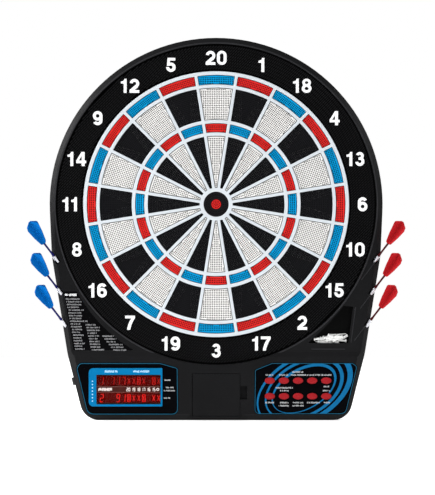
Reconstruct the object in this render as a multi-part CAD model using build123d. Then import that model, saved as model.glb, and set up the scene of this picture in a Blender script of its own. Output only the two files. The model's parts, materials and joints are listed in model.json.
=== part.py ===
from build123d import *
import os
from math import acos, asin, atan2, cos, degrees, hypot, radians, sin

# Electronic soft-tip dartboard that hangs on a wall. Millimetres.
# The origin is on the bull's axis at the wall plane: +X is right, +Z is up, the front faces -Y.
# A depth is a distance in front of the wall, so depth d is the plane y = -d.

# ---- target, radii from the bull's axis ----
SPIDER_R = 197.0
DOUBLE = (177.6, 191.6)
OUTER_SINGLE = (125.2, 172.6)
TRIPLE = (106.6, 120.0)
INNER_SINGLE = (24.5, 101.3)
BULL_R = 18.6
BULLSEYE_R = 7.2
WEB = 4.4                 # width of the spider's radial bars
SECTOR = 18.0             # degrees from one number to the next
NUMBERS = (20, 1, 18, 4, 13, 6, 10, 15, 2, 17, 3, 19, 7, 16, 8, 11, 14, 9, 12, 5)
CELL_GAP = 0.5            # air between a segment and the web round it
FLANGE_GROW = 0.8         # how far a segment's foot reaches behind the web
SPIDER_WALL_R = 194.0     # inside of the spider's outer wall
SPIDER_FLANGE_R = 205.0   # flange of the spider behind the housing's front
MAT_R = 193.5             # mat and membrane

# ---- housing outline, in the wall plane ----
HOUSING_R = 247.0
SHOULDER = (243.9, -76.0)
WAIST = (220.5, -222.0)
FLARE = 0.251             # the sides' slope below the waist
BOTTOM_Z = -320.0
SIDE_RADIUS = 150.0
CORNER_RADIUS = 28.0
WALL = 2.5

# ---- depths in front of the wall ----
COVER_D = 3.0             # rear cover, 0 to 3
BOARD_D = (13.0, 18.0)    # backing board
MEMBRANE_D = 18.8         # switch membrane, on the board
MAT_D = 21.6              # rubber mat, on the membrane
SEGMENT_D = (22.0, 30.0)
FLANGE_D = 24.0           # front of a segment's foot
WEB_D = (24.4, 31.5)      # spider's bars
RING_SEAT_D = (24.5, 27.0)
RING_D = 29.5             # front of the catch ring
CAVITY_D = 21.5           # inside of the housing's plain front wall
EDGE_D = 24.0             # where the outer bevel starts
CREST_D = 31.0            # front plane of the rim and shoulders
CONSOLE_D = 34.0          # front plane of the console
BEVEL = 9.5               # width of the bevel round the console
FAR = 60.0                # a depth in front of everything
SPAN = 600.0              # longer than the whole board
LABEL_DEPTH = 0.4         # recess of the games label

# ---- catch ring ----
RING_R = (197.4, 237.4)
RECESS_R = 237.8
SEAT_HOLE_R = 197.4
NUMERAL_R = 217.0
NUMERAL_H = 21.0
NUMERAL_W = 14.4
NUMERAL_D = 0.5
NUMERAL_SPACE = 2.2
SPACE_AFTER_1 = 4.4
STROKE = 4.4

# ---- console ----
LEDGE_Z = -219.0          # top of the sloped ledge over the console
CONSOLE_TOP_Z = -229.0
SHEET_D = 0.6             # printed panel sheets
BEZEL_X = (-188.6, -79.7)
BEZEL_Z = (-299.3, -242.7)
WINDOW_X = (-177.4, -82.1)
WINDOW_Z = (-296.3, -252.5)
BUTTON_NAMES = (
    ("game_button", "option_button", "player_button", "handicap_button", "double_button"),
    ("reset_button", "bounce_button", "volume_button", "language_button", "start_button"),
)
BUTTON_X0 = 79.4
BUTTON_PITCH = 20.9
BUTTON_Z = (-261.2, -284.2)
BUTTON_SIZE = (15.1, 9.4)
BUTTON_FLANGE_D = (29.3, 30.9)
BUTTON_RISE = 2.0
DOOR_X = (-35.0, 35.0)
DOOR_Z = (-313.5, -251.0)
DOOR_T = 2.5
NOTCH_X = (35.4, 45.9)
NOTCH_Z = (-289.0, -269.0)
NOTCH_D = 27.0
TRAY_D = (6.0, 8.0)       # back of the storage tray: outside, inside
HINGE_PIN_R = 0.9
HINGE_PIN_L = 1.8         # length of the pin beyond each end of the door

# ---- label and tip pocket on the shoulders ----
LABEL_TOP_Z = -129.0
LABEL_BOTTOM_Z = -216.3
POCKET_D = 20.5           # floor of the tip pocket
POUCH_X = (142.0, 188.0)  # the pocket's lower part, behind the front wall
POUCH_Z = (-217.0, -203.0)

# ---- darts: where the stem meets the barrel, on the right side, and the tilt of the tails ----
DART_JOINTS = ((240.6, -76.8), (235.6, -124.2), (229.4, -171.4))
DART_DEPTH = 27.5
DART_LEAN = degrees(atan2(0.6, 0.8))
DART_TILT = 12.0
BARREL_R = 3.0
BARREL_L = 40.0
TIP_L = 35.0
TIP_PROFILE = ((0, 0), (2.3, 0), (2.3, 5), (1.0, 12), (0.6, 34), (0, TIP_L))
STEM_R = 1.9
STEM_L = 23.7
STEM_IN_FLIGHT = 11.0
VANE_T = 0.5
VANE_OUTLINE = (          # distance from the dart's axis, distance behind the joint
    (0, 23.7), (4.6, 23.9), (6.4, 25.6), (14.0, 51.0), (14.0, 53.0), (12.7, 57.2), (1.8, 63.7), (0, 63.7),
)
SOCKET_R = 3.4
SOCKET_TIP_R = 2.8
SOCKET_WALL = 2.0
GROOVE_R = 3.8
GROOVE_END = 11.7

# ---- fasteners, wall keyholes, jack, speaker ----
SCREW_R = 1.4
SCREW_HEAD_R = 3.0
BOSS_R = 4.0
COVER_SCREWS_R = 226.0
COVER_SCREW_ANGLES = (90, 54, 126, 18, 162, -12, 192)
COVER_SCREW_POINTS = ((205, -232), (184, -304), (52, -300), (52, -250))
COVER_SCREW_L = 12.0
BOARD_R = 216.0
BOARD_SCREWS_R = 211.0
BOARD_SCREWS = 8
BOARD_SCREW_L = 9.0
HEAD_H = 1.4
KEYHOLE_X = 140.0
KEYHOLE_Z = 130.0
KEYHOLE_R = 4.5
KEYHOLE_SLOT_R = 2.4
KEYHOLE_RISE = 9.0
JACK_X = 110.0
JACK_D = 11.5
JACK_R = 2.75
JACK_L = 10.0
SPEAKER = (-130.0, -272.0)
SPEAKER_R = 25.0
SPEAKER_SLOT_PITCH = 6.0
SPEAKER_SLOT = 2.4
SWITCH_Z = -262.75
SWITCH_D = 12.0
SWITCH_TRAVEL = 4.0

FRONT = Plane(origin=(0, 0, 0), x_dir=(1, 0, 0), z_dir=(0, -1, 0))


# ---------------------------------------------------------------- helpers
def slab(sketch, low, high):
    """A sketch drawn in the wall plane, solid from one depth to another."""
    return extrude(FRONT.offset(low) * sketch, amount=high - low)


def block(x, z, depth):
    """A box given by its ranges in X, in Z and in depth."""
    size = (x[1] - x[0], depth[1] - depth[0], z[1] - z[0])
    centre = ((x[0] + x[1]) / 2, -(depth[0] + depth[1]) / 2, (z[0] + z[1]) / 2)
    return Pos(*centre) * Box(*size)


def disc(x, z, radius, low, high):
    return slab(Pos(x, z) * Circle(radius), low, high)


def rounded(x, z, radius):
    """A rectangle with rounded corners, from its ranges in X and Z."""
    centre = Pos((x[0] + x[1]) / 2, (z[0] + z[1]) / 2)
    return centre * RectangleRounded(x[1] - x[0], z[1] - z[0], radius)


def corners(points, radii):
    """A closed outline with its own radius at each corner."""
    return make_face(FilletPolyline(*points, radius=list(radii), close=True))


def ring(inner, outer):
    return Circle(outer) - Circle(inner)


def polar(radius, angle):
    return (radius * cos(radians(angle)), radius * sin(radians(angle)))


def both_sides(points):
    return [(side * x, z) for x, z in points for side in (1, -1)]


def grown(x_range, amount):
    return (x_range[0] - amount, x_range[1] + amount)


# ---------------------------------------------------------------- housing outline
def outline(inset=0.0):
    """The silhouette: a circle that runs into flared sides and a flat bottom."""
    foot = (WAIST[0] + (BOTTOM_Z - WAIST[1]) * FLARE, BOTTOM_Z)
    reach = hypot(*SHOULDER)
    tangent_angle = atan2(SHOULDER[1], SHOULDER[0]) + acos(HOUSING_R / reach)
    start = (HOUSING_R * cos(tangent_angle), HOUSING_R * sin(tangent_angle))
    right = [start, SHOULDER, WAIST, foot]
    left = [(-x, z) for x, z in reversed(right)]
    radii = [SIDE_RADIUS, SIDE_RADIUS, CORNER_RADIUS]
    sides = FilletPolyline(*right, *left, radius=radii + radii[::-1])
    arch = ThreePointArc(left[-1], (0, HOUSING_R), start)
    face = make_face(Wire(list(sides.edges()) + [arch.edge()]))
    if inset:
        return offset(face, amount=-inset, kind=Kind.INTERSECTION)
    return face


def below(z):
    """The half plane under a height, as a large rectangle."""
    return Pos(0, z - SPAN / 2) * Rectangle(2 * SPAN, SPAN)


# ---------------------------------------------------------------- panel outlines
def display_panel():
    points = (
        (-203, -234.4), (-82.8, -234.4), (-56.3, -242),
        (-55.6, -312.2), (-191, -312.2), (-207.6, -243.4),
    )
    return corners(points, (8, 10, 4, 9, 12, 5))


def control_panel():
    points = (
        (56.7, -244.9), (82.4, -234.4), (202.5, -234.4),
        (209.8, -240), (192.5, -311.5), (56, -311.5),
    )
    return corners(points, (4, 10, 5, 6, 10, 8))


def label_outline():
    """The left shoulder's label, its long side bowed along the catch ring."""
    top_left, top_right = (-225.5, LABEL_TOP_Z), (-206.5, LABEL_TOP_Z)
    bottom_right, bottom_left = (-121.4, LABEL_BOTTOM_Z), (-211.6, LABEL_BOTTOM_Z)
    edges = [
        Line(top_left, top_right),
        ThreePointArc(top_right, (-170.5, -178.0), bottom_right),
        Line(bottom_right, bottom_left),
        Line(bottom_left, top_left),
    ]
    return make_face(Wire(edges))


def pocket_outline():
    """The tip pocket's mouth in the right shoulder."""
    top_left, top_right = (189, -150.4), (203, -151.9)
    bottom_right, bottom_left = (196, -205.7), (136, -205.7)
    edges = [
        Line(top_left, top_right),
        Line(top_right, bottom_right),
        Line(bottom_right, bottom_left),
        ThreePointArc(bottom_left, (166.5, -176.5), top_left),
    ]
    return make_face(Wire(edges))


def oval(x, z, grow=0.0):
    return Pos(x, z) * Ellipse(BUTTON_SIZE[0] / 2 + grow, BUTTON_SIZE[1] / 2 + grow)


def button_places():
    for row, z in zip(BUTTON_NAMES, BUTTON_Z):
        for column, name in enumerate(row):
            yield name, BUTTON_X0 + column * BUTTON_PITCH, z


# ---------------------------------------------------------------- darts
def dart_plane(side, joint):
    """A frame at a dart's joint: its Z runs from the tail to the tip, its -Y faces the front."""
    lean = radians(DART_LEAN)
    tilt = radians(DART_TILT)
    along = (-side * sin(lean) * cos(tilt), sin(tilt), -cos(lean) * cos(tilt))
    across = (cos(lean), 0, -side * sin(lean))
    return Plane(origin=(side * joint[0], -DART_DEPTH, joint[1]), x_dir=across, z_dir=along)


def rod(plane, radius, start, end):
    """A round bar along a dart's axis."""
    return extrude(plane.offset(start) * Circle(radius), amount=end - start)


def dart_grooves():
    """What is cut away for a dart: an open groove on the bevel, then a round socket."""
    cuts = []
    for side in (1, -1):
        for joint in DART_JOINTS:
            plane = dart_plane(side, joint)
            toward_front = -1 if plane.y_dir.Y > 0 else 1
            trench = Pos(0, toward_front * FAR / 2, 0) * Box(2 * GROOVE_R, FAR, GROOVE_END + FAR)
            cuts.append(plane * (Pos(0, 0, (GROOVE_END - FAR) / 2) * trench))
            cuts.append(rod(plane, GROOVE_R, -FAR, GROOVE_END))
            cuts.append(rod(plane, SOCKET_R, GROOVE_END - 1, BARREL_L + 0.5))
            cuts.append(rod(plane, SOCKET_TIP_R, BARREL_L, BARREL_L + TIP_L + 4))
    return cuts


def dart_sockets():
    sockets = []
    for side in (1, -1):
        for joint in DART_JOINTS:
            sockets.append(rod(dart_plane(side, joint), SOCKET_R + SOCKET_WALL, 6, FAR))
    return sockets


def dart(side, joint):
    """One dart: soft tip, barrel, stem and flight, each a solid of its own."""
    profile = Polyline(*[(radius, BARREL_L + along) for radius, along in TIP_PROFILE], close=True)
    tip = revolve(Plane.XZ * make_face(profile), axis=Axis.Z)
    barrel = extrude(Circle(BARREL_R), amount=BARREL_L)
    stem_plane = Plane.XY.offset(-STEM_L - STEM_IN_FLIGHT)
    stem = extrude(stem_plane * Circle(STEM_R), amount=STEM_L + STEM_IN_FLIGHT)
    outline_points = [(radius, -behind) for radius, behind in VANE_OUTLINE]
    vane_face = make_face(Polyline(*outline_points, close=True))
    vane = extrude(Plane.XZ * vane_face, amount=VANE_T / 2, both=True)
    flight = Part() + [Rot(0, 0, 45 + 90 * turn) * vane for turn in range(4)]
    flight -= stem
    plane = dart_plane(side, joint)
    return [plane * piece for piece in (tip, barrel, stem, flight)]


# ---------------------------------------------------------------- power switch
def switch_plane():
    """A frame on the left side wall: its X runs down the wall, its Z points out of it."""
    down = Vector(FLARE, 0, -1).normalized()
    out = Vector(-1, 0, -FLARE).normalized()
    x = -(WAIST[0] + (SWITCH_Z - WAIST[1]) * FLARE)
    return Plane(origin=(x, -SWITCH_D, SWITCH_Z), x_dir=down, z_dir=out)


def switch_box(x, y, z):
    size = (x[1] - x[0], y[1] - y[0], z[1] - z[0])
    centre = ((x[0] + x[1]) / 2, (y[0] + y[1]) / 2, (z[0] + z[1]) / 2)
    return switch_plane() * (Pos(*centre) * Box(*size))


# ---------------------------------------------------------------- fasteners
def cover_screw_places():
    places = [polar(COVER_SCREWS_R, angle) for angle in COVER_SCREW_ANGLES]
    return places + both_sides(COVER_SCREW_POINTS)


def board_screw_places():
    step = 360 / BOARD_SCREWS
    return [polar(BOARD_SCREWS_R, step / 2 + step * index) for index in range(BOARD_SCREWS)]


def screw(x, z, head_depth, length):
    """A pan-head self-tapping screw driven from the back."""
    neck = head_depth + HEAD_H
    head = disc(x, z, SCREW_HEAD_R, head_depth, neck)
    return head + disc(x, z, SCREW_R, neck, neck + length)


def housing_screws():
    cover = [screw(x, z, 0.2, COVER_SCREW_L) for x, z in cover_screw_places()]
    board = [screw(x, z, BOARD_D[0] - HEAD_H, BOARD_SCREW_L) for x, z in board_screw_places()]
    return cover + board


# ---------------------------------------------------------------- housing
def hinge_axis():
    """The door's hinge line: its X and its depth."""
    return DOOR_X[0] + DOOR_T / 2, CONSOLE_D - DOOR_T / 2


def housing_shell():
    """The hollow shell: side walls, bevel, rim and shoulders, and the higher console."""
    slope = degrees(atan2(BEVEL, CONSOLE_D - EDGE_D))
    rise = extrude(FRONT.offset(EDGE_D) * outline(), amount=CONSOLE_D - EDGE_D, taper=slope)
    body = slab(outline(), 0, EDGE_D) + rise
    ledge = [(-CREST_D, LEDGE_Z), (-CREST_D - 9, LEDGE_Z - 21), (-CREST_D - 9, SPAN), (-CREST_D, SPAN)]
    body -= extrude(Plane.YZ * make_face(Polyline(*ledge, close=True)), amount=SPAN, both=True)
    sockets = [socket & body for socket in dart_sockets()]

    body -= slab(outline(WALL), -1, CAVITY_D)
    body -= slab(Circle(RECESS_R - WALL), CAVITY_D - 1, RING_SEAT_D[0])
    room = outline(12.0) - Circle(RECESS_R + 3.2)
    body -= slab(room & below(CONSOLE_TOP_Z), CAVITY_D - 1, CONSOLE_D - WALL)
    shoulder_room = (room & below(-110)) - below(LEDGE_Z + 3)
    body -= slab(shoulder_room, CAVITY_D - 1, CREST_D - WALL)

    body -= slab(Circle(RECESS_R), RING_SEAT_D[1], FAR)
    body -= slab(Circle(SEAT_HOLE_R), CAVITY_D, FAR)
    for socket in sockets:
        body += socket
    return body


def screw_bosses():
    bosses = []
    for x, z in cover_screw_places():
        roof = CONSOLE_D - WALL if z < CONSOLE_TOP_Z - 5 else RING_SEAT_D[0]
        bosses.append(disc(x, z, BOSS_R, COVER_D, roof + 0.2))
    for x, z in board_screw_places():
        bosses.append(disc(x, z, BOSS_R - 0.5, BOARD_D[1], RING_SEAT_D[0] + 0.2))
    return bosses


def pocket_walls():
    """The walls round the tip pocket, the storage tray and the finger notch."""
    pouch = rounded(POUCH_X, POUCH_Z, 3)
    return [
        slab(offset(pocket_outline(), amount=2.0), POCKET_D - 2, CREST_D),
        slab(offset(pouch, amount=2.0), POCKET_D - 2, CREST_D - WALL + 1),
        block(grown(DOOR_X, 2.6), grown(DOOR_Z, 2.5), (TRAY_D[0], CONSOLE_D)),
        block(grown(NOTCH_X, 2), grown(NOTCH_Z, 2), (NOTCH_D - 2, CONSOLE_D)),
    ]


def pocket_spaces():
    """The spaces in the tip pocket, the tray with its door and hinge, and the finger notch."""
    hinge_x, hinge_d = hinge_axis()
    knuckle = (hinge_x - DOOR_T / 2 - 0.7, hinge_x + 3)
    pin_length = DOOR_Z[1] - DOOR_Z[0] + 2 * HINGE_PIN_L + 0.6
    pin_centre = Pos(hinge_x, -hinge_d, (DOOR_Z[0] + DOOR_Z[1]) / 2)
    return [
        slab(pocket_outline(), POCKET_D, FAR),
        slab(rounded(POUCH_X, POUCH_Z, 3), POCKET_D, CREST_D - WALL),
        block(grown(DOOR_X, 0.7), grown(DOOR_Z, 0.6), (CONSOLE_D - DOOR_T - 0.4, FAR)),
        block(grown(DOOR_X, -1.5), grown(DOOR_Z, -1.5), (TRAY_D[1], FAR)),
        block(NOTCH_X, NOTCH_Z, (NOTCH_D, FAR)),
        block(knuckle, grown(DOOR_Z, 0.6), (hinge_d - DOOR_T / 2 - 1.2, FAR)),
        pin_centre * Cylinder(HINGE_PIN_R + 0.05, pin_length),
    ]


def front_recesses():
    """The seats of the printed sheets, the bezel's opening, the key holes and the dart grooves."""
    recesses = [
        slab(display_panel(), CONSOLE_D - SHEET_D, FAR),
        slab(control_panel(), CONSOLE_D - SHEET_D, FAR),
        slab(label_outline(), CREST_D - LABEL_DEPTH, FAR),
        slab(bezel_outline(0.2), CAVITY_D, FAR),
    ]
    keys = [slab(oval(x, z, CELL_GAP), CAVITY_D, FAR) for _, x, z in button_places()]
    return recesses + keys + dart_grooves()


def small_holes():
    """Screw pilot holes, the power switch's slot and the jack's hole."""
    pilot = SCREW_R + 0.05
    holes = [disc(x, z, pilot, COVER_D - 1, 16) for x, z in cover_screw_places()]
    holes += [disc(x, z, pilot, BOARD_D[1] - 1, 23.2) for x, z in board_screw_places()]
    holes.append(switch_box((-6.15, 6.15 + SWITCH_TRAVEL), (-2.9, 2.9), (-4, 2)))
    holes.append(Pos(JACK_X, -JACK_D, BOTTOM_Z) * Cylinder(4.2, 10))
    return holes


def front_housing():
    body = housing_shell()
    for piece in screw_bosses() + pocket_walls():
        body += piece
    for space in pocket_spaces() + front_recesses() + small_holes():
        body -= space
    return body


def rear_cover():
    """The flat back, let into the housing's walls, with wall keyholes and the speaker's slots."""
    cover = slab(outline(WALL + 0.4), 0, COVER_D)
    for x, z in cover_screw_places():
        cover -= disc(x, z, SCREW_R + 0.3, -1, COVER_D + 1)
        cover -= disc(x, z, SCREW_HEAD_R + 0.5, -1, 1.6)
    for x, z in both_sides([(KEYHOLE_X, KEYHOLE_Z), (KEYHOLE_X, -KEYHOLE_Z)]):
        slot = Pos(x, z + KEYHOLE_RISE / 2) * Rectangle(2 * KEYHOLE_SLOT_R, KEYHOLE_RISE)
        top = Pos(x, z + KEYHOLE_RISE) * Circle(KEYHOLE_SLOT_R)
        cover -= slab((Pos(x, z) * Circle(KEYHOLE_R)) + slot + top, -1, COVER_D + 1)
    for step in range(-3, 4):
        rise = SPEAKER_SLOT_PITCH * step
        width = 2 * (SPEAKER_R ** 2 - rise ** 2) ** 0.5 - 10
        slot = Pos(SPEAKER[0], SPEAKER[1] + rise) * SlotOverall(width, SPEAKER_SLOT)
        cover -= slab(slot, -1, COVER_D + 1)
    return cover


# ---------------------------------------------------------------- target
def sector_cell(radii, grow, angle):
    """One cell of the target between two radii, its straight sides parallel to the web's bars."""
    inner, outer = radii[0] - grow, radii[1] + grow
    half_bar = WEB / 2 - grow
    half = SECTOR / 2

    def corner(radius, side):
        return polar(radius, angle + side * (half - degrees(asin(half_bar / radius))))

    edges = [
        ThreePointArc(corner(outer, -1), polar(outer, angle), corner(outer, 1)),
        Line(corner(outer, 1), corner(inner, 1)),
        ThreePointArc(corner(inner, 1), polar(inner, angle), corner(inner, -1)),
        Line(corner(inner, -1), corner(outer, -1)),
    ]
    return Wire(edges)


def sector_angle(index):
    return 90 - SECTOR * index


def segment(radii, angle):
    """A segment: the plate that shows in its cell, on a wider foot behind the web."""
    foot = slab(make_face(sector_cell(radii, FLANGE_GROW, angle)), SEGMENT_D[0], FLANGE_D)
    plate = slab(make_face(sector_cell(radii, -CELL_GAP, angle)), FLANGE_D, SEGMENT_D[1])
    return foot + plate


def sector_segments(index):
    angle = sector_angle(index)
    return [segment(radii, angle) for radii in (DOUBLE, OUTER_SINGLE, TRIPLE, INNER_SINGLE)]


def spider():
    """The web: radial bars, four rings of openings, a hub, and the wall that stands on the board."""
    holes = [Circle(BULL_R).wire()]
    for index in range(len(NUMBERS)):
        for radii in (DOUBLE, OUTER_SINGLE, TRIPLE, INNER_SINGLE):
            holes.append(sector_cell(radii, 0, sector_angle(index)))
    web = slab(Face(Circle(SPIDER_R).wire(), holes), *WEB_D)
    wall = slab(ring(SPIDER_WALL_R, SPIDER_R), BOARD_D[1], WEB_D[0])
    flange = slab(ring(SPIDER_WALL_R, SPIDER_FLANGE_R), CAVITY_D, WEB_D[0])
    return web + wall + flange


def bull_outer():
    foot = slab(ring(BULLSEYE_R + CELL_GAP, BULL_R + FLANGE_GROW), SEGMENT_D[0], FLANGE_D)
    plate = slab(ring(BULLSEYE_R + CELL_GAP, BULL_R - CELL_GAP), FLANGE_D, SEGMENT_D[1])
    return foot + plate


def bull_inner():
    return slab(Circle(BULLSEYE_R), SEGMENT_D[0], SEGMENT_D[1])


def backing_board():
    board = slab(Circle(BOARD_R), *BOARD_D)
    for x, z in board_screw_places():
        board -= disc(x, z, SCREW_R + 0.3, BOARD_D[0] - 1, BOARD_D[1] + 1)
    return board


# ---------------------------------------------------------------- numerals
def arc_stroke(centre, radius, start, turn, width=STROKE):
    """A bent stroke of a numeral, along an arc."""
    outer = CenterArc(centre, radius + width / 2, start, turn)
    inner = CenterArc(centre, radius - width / 2, start, turn)
    ends = [Line(outer @ 0, inner @ 0), Line(outer @ 1, inner @ 1)]
    return make_face(Wire([outer.edge(), ends[0].edge(), inner.edge(), ends[1].edge()]))


def bar(x, y):
    return Pos((x[0] + x[1]) / 2, (y[0] + y[1]) / 2) * Rectangle(x[1] - x[0], y[1] - y[0])


def digit_0():
    w, h = NUMERAL_W, NUMERAL_H
    hole = RectangleRounded(w - 2 * STROKE, h - 2 * STROKE + 1, (w - 2 * STROKE) / 2 - 0.01)
    return Pos(w / 2, h / 2) * (RectangleRounded(w, h, w / 2 - 0.05) - hole)


def digit_1():
    flag = [
        (4.2, 0), (8.5, 0), (8.5, 21), (5.3, 21), (4.7, 18.9), (2.8, 17.3), (0, 16.8), (0, 13.8), (4.2, 13.8),
    ]
    return make_face(Polyline(*flag, close=True))


def digit_2():
    bowl = arc_stroke((7.2, 13.8), 4.8, 0, 172)
    knee = arc_stroke((6.3, 13.8), 5.7, -48, 48)
    leg = make_face(Polyline((12.2, 8.0), (8.4, 11.6), (0, 4.2), (0, 1), (4, 1), (7.2, 4.2), close=True))
    return bowl + knee + leg + bar((0, NUMERAL_W), (0, 4.1))


def digit_3():
    upper = arc_stroke((6.9, 14.9), 3.9, -90, 250, 4.1)
    lower = arc_stroke((6.9, 6.9), 4.6, 90, -262, 4.3)
    return upper + lower + bar((5.0, 7.6), (9.3, 12.8))


def digit_4():
    outer = [
        (7.9, 21), (12.4, 21), (12.4, 8.2), (14.8, 8.2), (14.8, 4.3), (12.4, 4.3),
        (12.4, 0), (8.0, 0), (8.0, 4.3), (0, 4.3), (0, 8.2),
    ]
    hole = [(8.0, 14.9), (3.9, 8.2), (8.0, 8.2)]
    return make_face(Polyline(*outer, close=True)) - make_face(Polyline(*hole, close=True))


def digit_5():
    back = [(2.0, 21), (1.0, 9.3), (5.0, 9.3), (5.6, 17.0), (6.1, 21)]
    bowl = arc_stroke((6.9, 7.1), 4.75, 128, -312)
    return bar((2.0, 13.4), (17.0, 21)) + make_face(Polyline(*back, close=True)) + bowl


def digit_6():
    bowl_r = 4.9
    bowl = Pos(NUMERAL_W / 2, 7.1) * ring(bowl_r - STROKE / 2, bowl_r + STROKE / 2)
    left = NUMERAL_W / 2 - bowl_r - STROKE / 2
    stem = bar((left, left + STROKE), (7.0, 13.8))
    return bowl + stem + arc_stroke((NUMERAL_W / 2, 13.8), bowl_r, 180, -152)


def digit_7():
    edges = [
        ThreePointArc((9.2, 17.0), (4.9, 9.0), (2.8, 0)),
        Line((2.8, 0), (7.4, 0)),
        ThreePointArc((7.4, 0), (9.7, 8.6), (14.4, 17.2)),
        Line((14.4, 17.2), (9.2, 17.0)),
    ]
    return make_face(Wire(edges)) + bar((0, NUMERAL_W), (16.9, 21))


def digit_8():
    upper = Pos(7.2, 15.2) * (Ellipse(6.4, 5.8) - Ellipse(2.4, 2.1))
    lower = Pos(7.2, 6.4) * (Ellipse(7.2, 6.4) - Ellipse(2.9, 2.4))
    waist = Pos(7.2, 10.8) * Rectangle(9.6, 1.6)
    return upper + lower + waist


def digit_9():
    return Pos(NUMERAL_W, NUMERAL_H) * Rot(0, 0, 180) * digit_6()


def score_numerals():
    """Twenty upright numbers round the catch ring, one flat solid for each figure."""
    makers = (digit_0, digit_1, digit_2, digit_3, digit_4, digit_5, digit_6, digit_7, digit_8, digit_9)
    figures = [make() for make in makers]
    solids = []
    for index, number in enumerate(NUMBERS):
        text = [figures[int(letter)] for letter in str(number)]
        widths = [figure.bounding_box().size.X for figure in text]
        space = SPACE_AFTER_1 if number in range(10, 20) else NUMERAL_SPACE
        x, z = polar(NUMERAL_R, sector_angle(index))
        left = x - (sum(widths) + space * (len(text) - 1)) / 2
        for figure, width in zip(text, widths):
            place = Pos(left - figure.bounding_box().min.X, z - NUMERAL_H / 2)
            solids.append(slab(place * figure, RING_D, RING_D + NUMERAL_D))
            left += width + space
    return solids


# ---------------------------------------------------------------- console pieces
def bezel_outline(grow=0.0):
    """The bezel's outer edge: round corners at its left, nearly square ones at its right."""
    x, z = grown(BEZEL_X, grow), grown(BEZEL_Z, grow)
    points = ((x[0], z[0]), (x[0], z[1]), (x[1], z[1]), (x[1], z[0]))
    return corners(points, (7, 7, 1, 1))


def display_overlay():
    sheet = offset(display_panel(), amount=-0.1) - bezel_outline(0.2)
    return slab(sheet, CONSOLE_D - SHEET_D, CONSOLE_D)


def display_bezel():
    frame = bezel_outline() - rounded(WINDOW_X, WINDOW_Z, 1.0)
    return slab(frame, CONSOLE_D - 2.0, CONSOLE_D + 0.6)


def display_window():
    return slab(rounded(grown(WINDOW_X, 1.6), grown(WINDOW_Z, 1.6), 1.5), CONSOLE_D - 3.6, CONSOLE_D - 2.0)


def score_display_board():
    """A circuit board with two rows of digit blocks and a driver chip on its back."""
    board = slab(rounded((-186, -83), (-297, -246), 2), 22.0, 23.6)
    rows = []
    for z in ((-268.8, -254.2), (-293.7, -279.2)):
        for column in range(6):
            left = -177.0 + 15.8 * column
            rows.append(block((left, left + 15.2), z, (23.6, 29.6)))
    chip = block((-140, -122), (-276, -270), (20.2, 22.0))
    return [board] + rows + [chip]


def control_overlay():
    sheet = offset(control_panel(), amount=-0.1)
    for _, x, z in button_places():
        sheet -= oval(x, z, CELL_GAP)
    return slab(sheet, CONSOLE_D - SHEET_D, CONSOLE_D)


def button(x, z):
    """A domed oval key on a flange that stays behind the housing's front."""
    flange = slab(oval(x, z, 1.2), *BUTTON_FLANGE_D)
    cap = slab(oval(x, z), BUTTON_FLANGE_D[1], CONSOLE_D + BUTTON_RISE)
    top = cap.faces().sort_by(Axis.Y)[0]
    return flange + chamfer(top.edges(), length=0.9)


def main_circuit_board():
    """The circuit board behind the keys, with a switch under each key, a processor and capacitors."""
    solids = [slab(rounded((62, 184), (-298, -243), 2), 22.0, 23.6)]
    for _, x, z in button_places():
        base = block((x - 3, x + 3), (z - 3, z + 3), (23.6, 26.9))
        solids.append(base + disc(x, z, 1.7, 26.9, 27.9))
    solids.append(block((98, 124), (-280, -266), (19.4, 22.0)))
    for x in (146, 158):
        solids.append(disc(x, -272, 4.0, 11.0, 22.0))
    return solids


def storage_door():
    """The square cover over the tray: a plate on a rounded hinge edge with a pin at each end."""
    hinge_x, hinge_d = hinge_axis()
    plate = block((hinge_x, DOOR_X[1]), DOOR_Z, (CONSOLE_D - DOOR_T, CONSOLE_D))
    centre = Pos(hinge_x, -hinge_d, (DOOR_Z[0] + DOOR_Z[1]) / 2)
    height = DOOR_Z[1] - DOOR_Z[0]
    pin = centre * Cylinder(HINGE_PIN_R, height + 2 * HINGE_PIN_L)
    return plate + centre * Cylinder(DOOR_T / 2, height) + pin


def power_switch():
    nub = switch_box((-5.75, 5.75), (-2.5, 2.5), (-2.9, 3.8))
    top = nub.faces().sort_by(Axis((0, 0, 0), switch_plane().z_dir))[-1]
    nub = chamfer(top.edges(), length=0.8)
    return nub + switch_box((-10, 10), (-4.5, 4.5), (-4.1, -2.9))


def switch_body():
    return switch_box((-12, 16), (-5, 5), (-10, -4.5))


def speaker():
    """A paper-cone speaker in a steel basket, facing the slots in the rear cover."""
    x, z = SPEAKER
    magnet = disc(x, z, 13, 11.0, 16.0)
    basket = disc(x, z, SPEAKER_R, COVER_D, 5.0) - disc(x, z, SPEAKER_R - 3, COVER_D - 1, 6)
    cup = disc(x, z, SPEAKER_R - 1, 5.0, 11.0) - disc(x, z, SPEAKER_R - 3, 4, 9.5)
    cone = disc(x, z, SPEAKER_R - 3, 4.0, 5.0)
    return [basket + cup, magnet, cone]


def dc_jack():
    body = block((JACK_X - 5, JACK_X + 5), (BOTTOM_Z + WALL, BOTTOM_Z + 17), (JACK_D - 6, JACK_D + 6))
    collar = Pos(JACK_X, -JACK_D, BOTTOM_Z + 2) * Cylinder(4.0, 4.0)
    bore = Pos(JACK_X, -JACK_D, BOTTOM_Z + JACK_L / 2) * Cylinder(JACK_R, JACK_L)
    return body + collar - bore


def games_label():
    return slab(offset(label_outline(), amount=-0.15), CREST_D - LABEL_DEPTH, CREST_D)


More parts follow.
